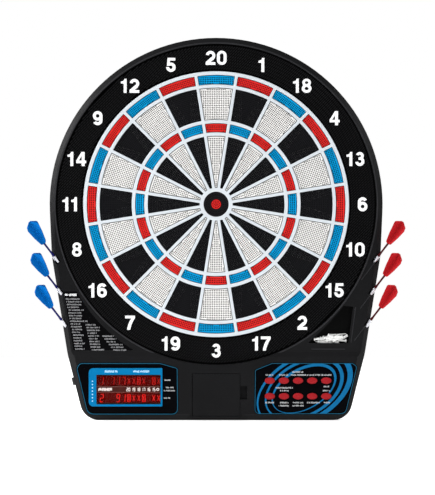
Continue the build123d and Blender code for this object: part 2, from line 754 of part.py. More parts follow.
def spare_tips():
    """Spare soft tips that lie in two layers in the pocket."""
    profile = [(0, 0), (2.4, 0), (2.4, 2), (1.6, 2), (1.6, 8), (1.1, 8.5), (0.5, 23), (0, 24)]
    tip = revolve(Plane.XZ * make_face(Polyline(*profile, close=True)), axis=Axis.Z)
    solids = []
    lower = ((-213.5, 145.5, 187), (-208.3, 145.5, 187), (-203.1, 148, 187), (-197.9, 154, 192))
    upper = ((-202.9, 149, 193), (-197.6, 155, 193))
    for depth, rows in ((23.2, lower), (28.2, upper)):
        for z, left, right in rows:
            solids.append(Pos(left, -depth, z) * Rot(0, 90, 0) * tip)
            solids.append(Pos(right, -depth, z + 2.6) * Rot(0, -90, 0) * tip)
    return solids


# ---------------------------------------------------------------- export
def pieces():
    """Each node's name with the solid or solids in it."""
    yield "front_housing", front_housing()
    yield "rear_cover", rear_cover()
    yield "catch_ring", slab(ring(*RING_R), RING_SEAT_D[1], RING_D)
    yield "score_numerals", score_numerals()
    yield "spider", spider()
    yield "backing_board", backing_board()
    yield "switch_membrane", slab(Circle(MAT_R), BOARD_D[1], MEMBRANE_D)
    yield "segment_spring_mat", slab(Circle(MAT_R), MEMBRANE_D, MAT_D)
    yield "bull_outer", bull_outer()
    yield "bull_inner", bull_inner()
    for index, number in enumerate(NUMBERS):
        yield f"segments_{number:02d}", sector_segments(index)
    yield "display_overlay", display_overlay()
    yield "display_bezel", display_bezel()
    yield "display_window", display_window()
    yield "score_display_board", score_display_board()
    yield "control_overlay", control_overlay()
    for name, x, z in button_places():
        yield name, button(x, z)
    yield "main_circuit_board", main_circuit_board()
    yield "storage_door", storage_door()
    yield "power_switch", power_switch()
    yield "switch_body", switch_body()
    yield "dc_jack", dc_jack()
    yield "speaker", speaker()
    yield "games_label", games_label()
    yield "spare_tips", spare_tips()
    yield "housing_screws", housing_screws()
    for side, word in ((-1, "left"), (1, "right")):
        for place, joint in zip(("top", "middle", "bottom"), DART_JOINTS):
            yield f"dart_{word}_{place}", dart(side, joint)


os.makedirs("parts", exist_ok=True)
for name, shape in pieces():
    if isinstance(shape, list):
        shape = Compound(children=[solid for piece in shape for solid in piece.solids()])
    export_step(shape, f"parts/{name}.step")
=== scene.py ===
import json
import random
from math import asin, atan2, cos, hypot, pi, radians, sin, sqrt

import bmesh
import bpy
from mathutils import Matrix, Vector
from mathutils.geometry import delaunay_2d_cdt


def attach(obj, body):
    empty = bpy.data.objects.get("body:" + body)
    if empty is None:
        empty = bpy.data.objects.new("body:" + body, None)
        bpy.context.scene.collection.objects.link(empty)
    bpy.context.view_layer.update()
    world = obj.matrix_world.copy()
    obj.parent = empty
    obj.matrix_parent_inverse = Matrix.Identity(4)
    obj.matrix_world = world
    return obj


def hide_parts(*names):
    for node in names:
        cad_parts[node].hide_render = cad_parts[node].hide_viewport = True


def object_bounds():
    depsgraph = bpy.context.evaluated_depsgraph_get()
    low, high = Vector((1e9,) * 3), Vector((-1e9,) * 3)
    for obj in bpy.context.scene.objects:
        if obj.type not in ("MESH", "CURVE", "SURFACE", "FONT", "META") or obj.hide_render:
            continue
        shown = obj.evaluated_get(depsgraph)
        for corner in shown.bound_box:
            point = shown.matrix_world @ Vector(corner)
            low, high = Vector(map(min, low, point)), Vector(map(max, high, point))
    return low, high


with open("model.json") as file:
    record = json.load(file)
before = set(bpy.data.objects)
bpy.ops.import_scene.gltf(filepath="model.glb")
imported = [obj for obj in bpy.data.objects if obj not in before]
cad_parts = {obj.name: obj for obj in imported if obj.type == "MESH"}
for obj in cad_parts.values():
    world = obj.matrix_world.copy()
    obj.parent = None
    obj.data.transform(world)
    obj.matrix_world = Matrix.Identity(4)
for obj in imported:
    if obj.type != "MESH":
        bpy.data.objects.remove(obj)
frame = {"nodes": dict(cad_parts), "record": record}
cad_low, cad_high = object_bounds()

# Looks of the electronic soft-tip dartboard. Shapes are drawn in millimetres as (x, z, depth):
# x to the right, z up from the bull's axis, and depth in front of the wall, so depth d is the plane y = -d.
MM = 0.001
NUMBERS = (20, 1, 18, 4, 13, 6, 10, 15, 2, 17, 3, 19, 7, 16, 8, 11, 14, 9, 12, 5)
NODES = frame["nodes"]

# ---- target ----
SECTOR = 18.0
WEB = 4.4
CELL_GAP = 0.5
FOOT_GROW = 0.8
DOUBLE = (177.6, 191.6)
OUTER_SINGLE = (125.2, 172.6)
TRIPLE = (106.6, 120.0)
INNER_SINGLE = (24.5, 101.3)
BULL_R = 18.6
BULLSEYE_R = 7.2
SEGMENT_BACK, FOOT_FRONT, SEGMENT_FRONT = 22.0, 24.0, 30.0
HOLE_PITCH = 2.65
HOLE_R = 0.96
HOLE_SIDES = 8
HOLE_MARGIN = 0.8          # from a hole's edge to the segment's edge

# ---- catch ring ----
RING_R = (197.4, 237.4)
RING_D = (27.0, 29.5)
RING_EDGE = 0.9            # smooth margin along both edges
RIB_PITCH = (5.8, 2.9)     # along and across the ribs
RIB_HEIGHT = 0.35
RIB_BASE = (0.12, 0.46)    # cut from each end, and half width as a part of the pitch
RIB_TOP = (0.5, 0.17)

# ---- console ----
CONSOLE_D = 34.0
CREST_D = 31.0


def linear(red, green, blue):
    """An sRGB colour, 0 to 255, as linear light."""
    def one(value):
        value /= 255
        return value / 12.92 if value <= 0.04045 else ((value + 0.055) / 1.055) ** 2.4
    return (one(red), one(green), one(blue), 1.0)


def shade(colour, factor):
    return tuple(min(c * factor, 1.0) for c in colour[:3]) + (1.0,)


# ---------------------------------------------------------------- materials
class Finish:
    """A procedural material round one Principled shader. Sizes are in millimetres."""

    def __init__(self, name, roughness=0.5, metallic=0.0, coat=0.0, specular=0.5):
        self.name = name
        self.material = bpy.data.materials.new(name)
        self.material.use_nodes = True
        tree = self.material.node_tree
        self.nodes, self.links = tree.nodes, tree.links
        self.shader = self.nodes["Principled BSDF"]
        self.set("Roughness", roughness)
        self.set("Metallic", metallic)
        self.set("Coat Weight", coat)
        self.set("Coat Roughness", 0.08)
        self.set("Specular IOR Level", specular)
        self.place = self.nodes.new("ShaderNodeTexCoord").outputs["Object"]
        self.normal = None

    def set(self, socket, value):
        self.shader.inputs[socket].default_value = value

    def link(self, source, socket):
        self.links.new(source, self.shader.inputs[socket])

    def noise(self, size, detail=2.0, stretch=(1, 1, 1), rough=0.5):
        """Noise with features of about that size, from 0 to 1."""
        move = self.nodes.new("ShaderNodeMapping")
        move.inputs["Scale"].default_value = stretch
        self.links.new(self.place, move.inputs["Vector"])
        node = self.nodes.new("ShaderNodeTexNoise")
        node.inputs["Scale"].default_value = 1 / (size * MM)
        node.inputs["Detail"].default_value = detail
        node.inputs["Roughness"].default_value = rough
        self.links.new(move.outputs["Vector"], node.inputs["Vector"])
        return node.outputs["Fac"]

    def spread(self, value, low, high, start=0.3, end=0.7):
        """Maps start..end to low..high."""
        node = self.nodes.new("ShaderNodeMapRange")
        for socket, number in (("From Min", start), ("From Max", end), ("To Min", low), ("To Max", high)):
            node.inputs[socket].default_value = number
        self.links.new(value, node.inputs["Value"])
        return node.outputs["Result"]

    def math(self, operation, first, second=None):
        node = self.nodes.new("ShaderNodeMath")
        node.operation = operation
        for socket, value in zip(node.inputs, (first, second)):
            if isinstance(value, (int, float)):
                socket.default_value = value
            elif value is not None:
                self.links.new(value, socket)
        return node.outputs["Value"]

    def mix(self, factor, first, second):
        node = self.nodes.new("ShaderNodeMix")
        node.data_type = "RGBA"
        self.links.new(factor, node.inputs[0])
        for socket, value in ((node.inputs[6], first), (node.inputs[7], second)):
            if isinstance(value, tuple):
                socket.default_value = value
            else:
                self.links.new(value, socket)
        return node.outputs[2]

    def bump(self, height, depth):
        """Adds relief: height 0 to 1 stands for 0 to that depth."""
        node = self.nodes.new("ShaderNodeBump")
        node.inputs["Strength"].default_value = 1.0
        node.inputs["Distance"].default_value = depth * MM
        self.links.new(height, node.inputs["Height"])
        if self.normal is not None:
            self.links.new(self.normal, node.inputs["Normal"])
        self.normal = node.outputs["Normal"]
        self.link(self.normal, "Normal")

    def axis(self, name):
        node = self.nodes.new("ShaderNodeSeparateXYZ")
        self.links.new(self.place, node.inputs["Vector"])
        return node.outputs[name]


def plastic(name, colour, roughness, mottle=0.10, mottle_size=40.0, grain=0.02, grain_size=0.6,
            coat=0.0, specular=0.5, scuffs=0.0):
    """Moulded plastic: slow colour variation, uneven gloss, fine grain, and a few pale scuffs."""
    finish = Finish(name, roughness, coat=coat, specular=specular)
    tone = finish.spread(finish.noise(mottle_size, 4), 0, 1)
    base = finish.mix(tone, shade(colour, 1 - mottle), shade(colour, 1 + mottle))
    if scuffs:
        streaks = finish.noise(9, 5, stretch=(0.35, 1, 1.6), rough=0.65)
        base = finish.mix(finish.spread(streaks, 0, scuffs, 0.62, 0.72), base, shade(colour, 2.6))
    finish.link(base, "Base Color")
    gloss = finish.noise(mottle_size * 0.35, 5)
    finish.link(finish.spread(gloss, roughness - 0.05, roughness + 0.07), "Roughness")
    finish.bump(finish.noise(grain_size, 3), grain)
    return finish


def recessed(finish, colour, low, high, open_sides=False):
    """Paints shade: what lies deeper than the front gets the darker colour, from a low to a high depth in
    millimetres.
    """
    front = finish.shader.inputs["Base Color"].links[0].from_socket
    depth = finish.math("MULTIPLY", finish.axis("Y"), -1 / MM)
    amount = finish.spread(depth, 0, 1, low, high)
    # With open_sides, faces turned away from the middle keep the front colour, so the painted shade stays on
    # the inner faces of recesses.
    if open_sides:
        outward = finish.nodes.new("ShaderNodeVectorMath")
        outward.operation = "DOT_PRODUCT"
        finish.links.new(finish.place.node.outputs["Normal"], outward.inputs[0])
        finish.links.new(finish.place, outward.inputs[1])
        amount = finish.math("MAXIMUM", amount, finish.spread(outward.outputs["Value"], 0, 1, 0.05, 0.12))
    finish.link(finish.mix(amount, colour, front), "Base Color")
    return finish


def segment(name, colour, inside, specular):
    """Perforated plastic with painted shade: darker on its sides and in its holes."""
    finish = plastic(name, colour, 0.5, 0.03, 30, 0.02, 0.5, specular=specular)
    # inside is the factor for the painted shade on the sides, chamfers and hole walls.
    return recessed(finish, shade(colour, inside), SEGMENT_FRONT - 0.4, SEGMENT_FRONT - 0.03)


def metal(name, colour, roughness, size=0.5, stretch=(1, 1, 1)):
    finish = Finish(name, roughness, metallic=1.0)
    tone = finish.spread(finish.noise(6, 4), 0, 1)
    finish.link(finish.mix(tone, shade(colour, 0.82), shade(colour, 1.08)), "Base Color")
    gloss = finish.noise(size, 3, stretch)
    finish.link(finish.spread(gloss, roughness - 0.06, roughness + 0.12), "Roughness")
    finish.bump(finish.noise(size, 2, stretch), 0.01)
    return finish


def circuit(name):
    """Green solder mask with fine tracks and copper-coloured pads."""
    finish = Finish(name, 0.35, coat=0.3)
    brick = finish.nodes.new("ShaderNodeTexBrick")
    brick.inputs["Scale"].default_value = 260
    brick.inputs["Mortar Size"].default_value = 0.03
    turn = finish.nodes.new("ShaderNodeMapping")
    turn.inputs["Rotation"].default_value = (radians(90), 0, 0)
    finish.links.new(finish.place, turn.inputs["Vector"])
    finish.links.new(turn.outputs["Vector"], brick.inputs["Vector"])
    tracks = finish.mix(brick.outputs["Fac"], linear(18, 84, 48), linear(60, 128, 78))
    pads = finish.nodes.new("ShaderNodeTexVoronoi")
    pads.inputs["Scale"].default_value = 320
    finish.links.new(finish.place, pads.inputs["Vector"])
    spots = finish.spread(pads.outputs["Distance"], 1, 0, 0.12, 0.16)
    finish.link(finish.mix(spots, tracks, linear(190, 160, 96)), "Base Color")
    finish.bump(brick.outputs["Fac"], 0.03)
    return finish


def glowing(name, colour, strength):
    """Lit display segments behind a diffusing skin."""
    finish = Finish(name, 0.4)
    tone = finish.spread(finish.noise(1.2, 3), 0, 1)
    base = finish.mix(tone, shade(colour, 0.85), shade(colour, 1.1))
    finish.link(base, "Base Color")
    finish.link(base, "Emission Color")
    finish.set("Emission Strength", strength)
    return finish


def lens(name, colour):
    """Tinted clear acrylic."""
    finish = plastic(name, colour, 0.06, mottle=0.03, mottle_size=60, grain=0.001, grain_size=20)
    finish.set("Transmission Weight", 1.0)
    finish.set("IOR", 1.12)
    return finish


FINISHES = {finish.name: finish for finish in (
    # housing_black: painted shade, inward-facing surfaces fade to near black from 27 mm depth down to 24 mm
    # (pocket, notch, ring seat).
    recessed(plastic("housing_black", linear(20, 20, 21), 0.4, 0.12, 60, 0.03, 0.7, specular=0.06,
                     scuffs=0.05),
             linear(2, 2, 2), 24, 27, open_sides=True),
    plastic("cover_black", linear(30, 30, 32), 0.58, 0.12, 70, 0.10, 1.6, specular=0.3, scuffs=0.15),
    # ring_black: painted shade, the grooves between the raised ribs go black.
    recessed(plastic("ring_black", linear(23, 23, 24), 0.4, 0.1, 30, 0.01, 0.5, specular=0.015),
             linear(0, 0, 0), RING_D[1] - 0.15, RING_D[1] - 0.02),
    plastic("numeral_white", linear(240, 240, 240), 0.5, 0.01, 20, 0.01, 0.5, specular=0.2),
    # spider_white: painted shade, the web's rounded shoulders and sides go dark grey below its top.
    recessed(plastic("spider_white", linear(202, 208, 213), 0.32, 0.02, 50, 0.012, 0.8, specular=0.3),
             linear(40, 42, 46), 30.4, 31.3),
    # Each segment's second number is the factor of its painted shade on sides and in holes.
    segment("segment_white", linear(232, 230, 227), 0.25, 0.2),
    segment("segment_black", linear(27, 27, 29), 0.1, 0.01),
    segment("segment_red", linear(214, 39, 37), 0.15, 0.08),
    segment("segment_blue", linear(0, 143, 200), 0.15, 0.08),
    plastic("board_grey", linear(70, 70, 74), 0.6, 0.1, 40, 0.05, 1.2),
    plastic("membrane_film", linear(186, 168, 120), 0.3, 0.06, 15, 0.01, 2.0),
    plastic("mat_rubber", linear(12, 12, 13), 0.8, 0.1, 20, 0.05, 1.0, specular=0.02),
    plastic("bezel_blue", linear(0, 108, 160), 0.3, 0.03, 30, 0.008, 0.8, specular=0.06),
    lens("window_red", linear(250, 150, 140)),
    circuit("circuit_green"),
    plastic("switch_black", linear(20, 20, 21), 0.45, 0.1, 10, 0.03, 0.5),
    plastic("jack_black", linear(24, 24, 25), 0.4, 0.1, 10, 0.02, 0.5),
    metal("speaker_steel", linear(150, 150, 154), 0.4),
    plastic("label_sheet", linear(6, 6, 7), 0.35, 0.1, 30, 0.008, 0.8, specular=0.02),
    plastic("tip_white", linear(226, 226, 224), 0.42, 0.03, 6, 0.01, 0.4),
    metal("screw_steel", linear(168, 168, 172), 0.32),
    plastic("button_red", linear(150, 25, 31), 0.42, 0.05, 8, 0.015, 0.4, specular=0.1),
    metal("barrel_steel", linear(205, 205, 210), 0.28, 0.3),
    plastic("stem_navy", linear(18, 18, 84), 0.4, 0.08, 8, 0.01, 0.5, specular=0.1),
    plastic("stem_red", linear(66, 9, 15), 0.4, 0.08, 8, 0.01, 0.5, specular=0.1),
    plastic("flight_blue", linear(3, 96, 170), 0.5, 0.06, 12, 0.02, 2.0, specular=0.05),
    plastic("flight_red", linear(170, 26, 32), 0.5, 0.06, 12, 0.02, 2.0, specular=0.05),
    glowing("led_red", linear(226, 46, 38), 0.3),
    plastic("panel_sheet", linear(4, 4, 6), 0.2, 0.1, 50, 0.004, 3.0, specular=0.015),
)}
LED_OFF = plastic("led_off", linear(106, 34, 29), 0.5, 0.08, 2, 0.01, 0.4, specular=0.05)
LED_FACE = plastic("led_face", linear(78, 28, 24), 0.5, 0.12, 6, 0.01, 0.4, specular=0.05)
LED_DIM = glowing("led_dim", linear(186, 42, 36), 0.2)
STRIP_BROWN = plastic("strip_brown", linear(60, 21, 14), 0.4, 0.2, 8, 0.004, 0.5, specular=0.1)
# Housing plastic made lighter than housing_black, a painted highlight for the recess lip and the shoulder
# ribs.
RIB_PAINTED_HIGHLIGHT = plastic("rib_painted_highlight", linear(38, 38, 40), 0.4, 0.15, 20, 0.02, 0.6, specular=0.12)
PRINT_BLUE = plastic("print_blue", linear(14, 98, 146), 0.35, 0.04, 12, 0.004, 1.0, specular=0.05)
PRINT_TEAL = plastic("print_teal", linear(24, 84, 110), 0.35, 0.05, 12, 0.004, 1.0, specular=0.05)
PRINT_GREY = plastic("print_grey", linear(168, 170, 172), 0.5, 0.05, 3, 0.004, 0.5)
PRINT_DULL = plastic("print_dull", linear(126, 126, 128), 0.5, 0.05, 3, 0.004, 0.5)
PRINT_ROSE = plastic("print_rose", linear(150, 78, 70), 0.5, 0.05, 3, 0.004, 0.5)
PRINT_PALE = plastic("print_pale", linear(238, 226, 220), 0.5, 0.04, 3, 0.004, 0.5)
PRINT_SKY = plastic("print_sky", linear(170, 214, 238), 0.5, 0.04, 3, 0.004, 0.5)


# ---------------------------------------------------------------- mesh helpers
class Shape:
    """Points in (x, z, depth) millimetres with faces over them."""

    def __init__(self):
        self.points, self.faces = [], []

    def add(self, points, faces):
        start = len(self.points)
        self.points += [tuple(p) for p in points]
        self.faces += [tuple(start + i for i in face) for face in faces]

    def face(self, points):
        self.add(points, [range(len(points))])

    def strip(self, first, second):
        """Quads between two closed loops with as many points; the second is further in or in front."""
        count = len(first)
        faces = [(i, (i + 1) % count, count + (i + 1) % count, count + i) for i in range(count)]
        self.add(list(first) + list(second), faces)

    def welded(self, distance=1e-3):
        bm = bmesh.new()
        points = [bm.verts.new((x, -d, z)) for x, z, d in self.points]
        for face in self.faces:
            bm.faces.new([points[i] for i in face])
        bmesh.ops.remove_doubles(bm, verts=bm.verts, dist=distance)
        bmesh.ops.recalc_face_normals(bm, faces=bm.faces)
        loose = [v for v in bm.verts if not v.link_faces]
        bmesh.ops.delete(bm, geom=loose, context="VERTS")
        bm.verts.index_update()
        result = Shape()
        result.points = [(v.co.x, v.co.z, -v.co.y) for v in bm.verts]
        result.faces = [tuple(v.index for v in f.verts) for f in bm.faces]
        bm.free()
        return result


def mesh_object(name, shape, finish, body, replaces=(), smooth=None, turn=0.0):
    """Makes a Blender object from a shape, in metres, and ties it to the frame."""
    mesh = bpy.data.meshes.new(name)
    c, s = cos(radians(turn)), sin(radians(turn))
    rows = [((x * c - z * s) * MM, -d * MM, (x * s + z * c) * MM) for x, z, d in shape.points]
    mesh.from_pydata(rows, [], shape.faces)
    mesh.materials.append(finish.material)
    if smooth is not None:
        mesh.polygons.foreach_set("use_smooth", [True] * len(mesh.polygons))
        mesh.set_sharp_from_angle(angle=radians(smooth))
    mesh.validate()
    piece = bpy.data.objects.new(name, mesh)
    bpy.context.scene.collection.objects.link(piece)
    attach(piece, body)
    if replaces:
        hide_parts(*replaces)


def at(loop, depth):
    return [(x, z, depth) for x, z in loop]


def box(left, right, low, high):
    return [(left, low), (right, low), (right, high), (left, high)]


def circle(radius, steps, x=0.0, z=0.0, start=0.0):
    angles = [start + 2 * pi * i / steps for i in range(steps)]
    return [(x + radius * cos(a), z + radius * sin(a)) for a in angles]


def ellipse(x, z, a, b, steps=48, lean=0.0):
    c, s = cos(radians(lean)), sin(radians(lean))
    loop = []
    for i in range(steps):
        u, v = a * cos(2 * pi * i / steps), b * sin(2 * pi * i / steps)
        loop.append((x + u * c - v * s, z + u * s + v * c))
    return loop


def in_ellipse(x, z, centre, a, b, lean=0.0):
    c, s = cos(radians(lean)), sin(radians(lean))
    u, v = x - centre[0], z - centre[1]
    return ((u * c + v * s) / a) ** 2 + ((-u * s + v * c) / b) ** 2 < 1


def area(loop):
    return sum(a[0] * b[1] - b[0] * a[1] for a, b in zip(loop, loop[1:] + loop[:1])) / 2


def rounded(points, radii, steps=6):
    """A closed outline with rounded corners, anticlockwise."""
    loop = []
    count = len(points)
    for i, radius in enumerate(radii):
        here = Vector(points[i])
        before = (Vector(points[i - 1]) - here).normalized()
        after = (Vector(points[(i + 1) % count]) - here).normalized()
        half = before.angle(after) / 2
        reach = radius / max(sin(half) / cos(half), 1e-6)
        middle = here + (before + after).normalized() * (radius / sin(half))
        start, end = here + before * reach - middle, here + after * reach - middle
        sweep = start.angle_signed(end)
        for step in range(steps + 1):
            turn = Matrix.Rotation(-sweep * step / steps, 2)
            loop.append(tuple(middle + turn @ start))
    return loop if area(loop) > 0 else loop[::-1]


def inset(loop, amount):
    """Moves an anticlockwise outline inwards."""
    count = len(loop)
    moved = []
    for i in range(count):
        a, b, c = (Vector(loop[(i + k) % count]) for k in (-1, 0, 1))
        sides = [q - p for p, q in ((a, b), (b, c)) if (q - p).length > 1e-9]
        normals = [Vector((-side.y, side.x)).normalized() for side in sides]
        mean = sum(normals, Vector((0, 0))).normalized()
        moved.append(tuple(b + mean * amount / max(mean.dot(normals[0]), 0.3)))
    return moved


def inside(x, z, loop):
    """True if a point lies inside a closed outline."""
    result = False
    for (x0, z0), (x1, z1) in zip(loop, loop[1:] + loop[:1]):
        if (z0 > z) != (z1 > z) and x < (x1 - x0) * (z - z0) / (z1 - z0) + x0:
            result = not result
    return result


def triangles(loops, keep):
    """Fills closed loops with triangles, kept where keep(x, z) is true of their middle."""
    points, edges = [], []
    for loop in loops:
        start, count = len(points), len(loop)
        points += [Vector(p) for p in loop]
        edges += [(start + i, start + (i + 1) % count) for i in range(count)]
    found, _, faces, sources, _, _ = delaunay_2d_cdt(points, edges, [], 0, 1e-5)
    kept = []
    for face in faces:
        a, b, c = (found[i] for i in face)
        turn = (b - a).cross(c - a)
        if abs(turn) > 1e-7 and keep((a.x + b.x + c.x) / 3, (a.y + b.y + c.y) / 3):
            kept.append(tuple(face) if turn > 0 else tuple(face)[::-1])
    return [tuple(p) for p in found], kept, sources


def plate(loops, keep, low, high):
    """A flat plate of any outline, clipped by keep."""
    found, faces, _ = triangles(loops, keep)
    shape = Shape()
    shape.add(at(found, high), faces)
    shape.add(at(found, low), [face[::-1] for face in faces])
    edges = {}
    for face in faces:
        for a, b in zip(face, face[1:] + face[:1]):
            edges[(a, b)] = edges.get((a, b), 0) + 1
    for a, b in edges:
        if (b, a) not in edges:
            (ax, az), (bx, bz) = found[a], found[b]
            shape.face([(bx, bz, high), (ax, az, high), (ax, az, low), (bx, bz, low)])
    return shape.welded(1e-4)


def prism(shape, loop, low, high):
    shape.face(at(loop, high))
    shape.strip(at(loop, low), at(loop, high))
    shape.face(at(loop, low)[::-1])


def outline_ring(loop, start, width, low, high):
    """A thin line inside an outline, as a closed plate."""
    outer, inner = inset(loop, start), inset(loop, start + width)
    shape = Shape()
    shape.strip(at(outer, low), at(outer, high))
    shape.strip(at(outer, high), at(inner, high))
    shape.strip(at(inner, high), at(inner, low))
    shape.strip(at(inner, low), at(outer, low))
    return shape.welded(1e-4)


# ---------------------------------------------------------------- perforated target pieces
def holed(edge, inner, holes):
    """A plate with round holes right through it. Its outer and inner edges are rings from front to back."""
    shape = Shape()
    rims = [circle(HOLE_R, HOLE_SIDES, x, z, pi / HOLE_SIDES) for x, z in holes]
    cells = {}
    for x, z in holes:
        cells.setdefault((round(x / HOLE_PITCH), round(z / HOLE_PITCH)), []).append((x, z))

    def clear(x, z):
        """True outside every hole."""
        i, k = round(x / HOLE_PITCH), round(z / HOLE_PITCH)
        near = [h for di in (-1, 0, 1) for dk in (-1, 0, 1) for h in cells.get((i + di, k + dk), [])]
        return all(hypot(x - hx, z - hz) > HOLE_R * 0.93 for hx, hz in near)

    for end in (0, -1):
        outlines = [[p[:2] for p in rings[end]] for rings in (edge, inner) if rings]

        def keep(x, z):
            """True between the outer and the inner edge, outside every hole."""
            opening = any(inside(x, z, loop) for loop in outlines[1:])
            return inside(x, z, outlines[0]) and not opening and clear(x, z)

        found, faces, _ = triangles(outlines + rims, keep)
        shape.add(at(found, edge[end][0][2]), faces if end == 0 else [face[::-1] for face in faces])
    for rim in rims:
        shape.strip(at(rim, SEGMENT_FRONT), at(rim, SEGMENT_BACK))
    for first, second in zip(edge, edge[1:]):
        shape.strip(second, first)
    for first, second in zip(inner, inner[1:]):
        shape.strip(first, second)
    return shape.welded()


def cell(radii, grow, arc_steps):
    """A cell of the target that points up, with straight sides parallel to the web's bars."""
    low, high = radii[0] - grow, radii[1] + grow
    half_bar = WEB / 2 - grow
    loop = []
    for radius, order in ((high, 1), (low, -1)):
        half = radians(SECTOR / 2) - asin(half_bar / radius)
        for step in range(arc_steps + 1):
            angle = pi / 2 - order * half + order * 2 * half * step / arc_steps
            loop.append((radius * cos(angle), radius * sin(angle)))
    return loop


def segment_shape(radii):
    """One segment, with its rows of holes square to its own radius."""
    steps = max(6, round(radii[1] / 10))
    reach = HOLE_R + HOLE_MARGIN
    half = radians(SECTOR / 2)
    holes = []
    middle = (radii[0] + radii[1]) / 2
    rows = int((radii[1] - radii[0]) / HOLE_PITCH)
    for row in range(-rows // 2 - 1, rows // 2 + 2):
        z = middle + row * HOLE_PITCH
        for column in range(-14, 15):
            x = column * HOLE_PITCH
            radius = hypot(x, z)
            if not radii[0] + reach < radius < radii[1] - reach:
                continue
            bars = (abs(x * cos(half) - side * z * sin(half)) for side in (1, -1))
            if min(bars) > WEB / 2 + reach:
                holes.append((x, z))
    edge = [(-CELL_GAP - 0.7, SEGMENT_FRONT), (-CELL_GAP - 0.25, SEGMENT_FRONT - 0.35),
            (-CELL_GAP, SEGMENT_FRONT - 0.9), (-CELL_GAP, FOOT_FRONT),
            (FOOT_GROW, FOOT_FRONT), (FOOT_GROW, SEGMENT_BACK)]
    return holed([at(cell(radii, grow, steps), depth) for grow, depth in edge], [], holes)


def joined(*shapes):
    whole = Shape()
    for shape in shapes:
        whole.add(shape.points, shape.faces)
    return whole


def build_segments():
    single = joined(segment_shape(OUTER_SINGLE), segment_shape(INNER_SINGLE))
    shapes = (("singles", single), ("double", segment_shape(DOUBLE)), ("triple", segment_shape(TRIPLE)))
    colours = (("white", "blue", "red"), ("black", "red", "blue"))
    for index, number in enumerate(NUMBERS):
        node, body = f"segments_{number:02d}", f"sector_{number:02d}"
        for (word, shape), colour in zip(shapes, colours[index % 2]):
            slot = "segment_" + colour
            mesh_object(f"{node}_{word}", shape, FINISHES[slot], body, [node], turn=-SECTOR * index)


def rings_at(steps, *places):
    """Circles round the bull's axis, each given by its radius and depth."""
    return [at(circle(radius, steps), depth) for radius, depth in places]


def build_bulls():
    rim, hole, foot, steps = BULL_R - CELL_GAP, BULLSEYE_R + CELL_GAP, BULL_R + FOOT_GROW, 72
    edge = rings_at(steps, (rim - 0.5, SEGMENT_FRONT), (rim, SEGMENT_FRONT - 0.5), (rim, FOOT_FRONT),
                    (foot, FOOT_FRONT), (foot, SEGMENT_BACK))
    inner = rings_at(steps, (hole + 0.5, SEGMENT_FRONT), (hole, SEGMENT_FRONT - 0.5), (hole, SEGMENT_BACK))
    shape = holed(edge, inner, circle(11.1, 26) + circle(14.4, 34))
    mesh_object("bull_outer_ring", shape, FINISHES["segment_black"], "bull_outer_body",
                ["bull_outer"])
    edge = rings_at(steps, (BULLSEYE_R - 0.6, SEGMENT_FRONT), (BULLSEYE_R, SEGMENT_FRONT - 0.6),
                    (BULLSEYE_R, SEGMENT_BACK))
    shape = holed(edge, [], [(0, 0)] + circle(2.5, 6) + circle(4.9, 12, start=pi / 12))
    mesh_object("bull_inner_disc", shape, FINISHES["segment_red"], "bull_inner_body",
                ["bull_inner"])


# ---------------------------------------------------------------- catch ring
def ribs(inner, outer):
    """The ring's ribs as start, end and row, in rows at 45 degrees, as many as fit in each row."""
    half = RIB_PITCH[1] * RIB_BASE[1]
    last = int(outer / RIB_PITCH[1])
    for k in range(-last, last + 1):
        row = k * RIB_PITCH[1]
        far, near = abs(row) + half, max(abs(row) - half, 0)
        if far >= outer:
            continue
        end = sqrt(outer ** 2 - far ** 2)
        start = sqrt(inner ** 2 - near ** 2) if near < inner else -end
        for a, b in ((start, end), (-end, -start))[:2 if near < inner else 1]:
            count = max(1, round((b - a) / RIB_PITCH[0]))
            step = (b - a) / count
            for i in range(count if step > 2 else 0):
                yield a + step * i, a + step * (i + 1), row


def build_catch_ring():
    """The catch ring: its front is one surface of short raised ribs, set at 45 degrees."""
    steps = 240
    low, high = RING_D
    inner, outer = RING_R[0] + RING_EDGE, RING_R[1] - RING_EDGE
    loops = [circle(outer, steps), circle(inner, steps)]
    tops = set()
    point_count = 2 * steps
    for start, end, row in ribs(RING_R[0] + RING_EDGE + 0.35, RING_R[1] - RING_EDGE - 0.35):
        for (trim, half), raised in ((RIB_BASE, False), (RIB_TOP, True)):
            half *= RIB_PITCH[1]
            corners = [(end - trim, row + half), (start + trim, row + half), (start + trim, row - half),
                       (end - trim, row - half)]
            loops.append([((u - v) * sqrt(0.5), (u + v) * sqrt(0.5)) for u, v in corners])
            if raised:
                tops.update(range(point_count, point_count + 4))
            point_count += 4
    keep = lambda x, z: inner - 0.05 < hypot(x, z) < outer
    found, faces, sources = triangles(loops, keep)
    shape = Shape()
    groove = high - RIB_HEIGHT
    rows = []
    for (x, z), source in zip(found, sources):
        rows.append((x, z, high if any(s in tops for s in source) else groove))
    shape.add(rows, faces)
    for edge, shoulder, side in ((outer, RING_R[1] - 0.5, RING_R[1]), (inner, RING_R[0] + 0.5, RING_R[0])):
        rings = rings_at(steps, (edge, groove), (shoulder, high), (side, high - 0.4), (side, low))
        for first, second in zip(rings, rings[1:]):
            shape.strip(first, second)
    shape.strip(at(circle(RING_R[0], steps), low), at(circle(RING_R[1], steps), low))
    mesh_object("catch_ring_relief", shape.welded(), FINISHES["ring_black"], "board",
                ["catch_ring"])


def build_recess_lip():
    """A thin rounded lip on the housing round the catch ring's recess. It catches real light, and a grey
    lighter than the housing paints the rest of its highlight.
    """
    profile = ((237.95, -0.6), (237.95, 0.15), (238.25, 0.4), (238.8, 0.45), (239.5, 0.25), (240.2, -0.1),
               (240.2, -0.6))
    rings = rings_at(240, *((radius, CREST_D + rise) for radius, rise in profile))
    shape = Shape()
    for first, second in zip(rings, rings[1:] + rings[:1]):
        shape.strip(first, second)
    mesh_object("recess_lip", shape.welded(), RIB_PAINTED_HIGHLIGHT, "board", smooth=35)


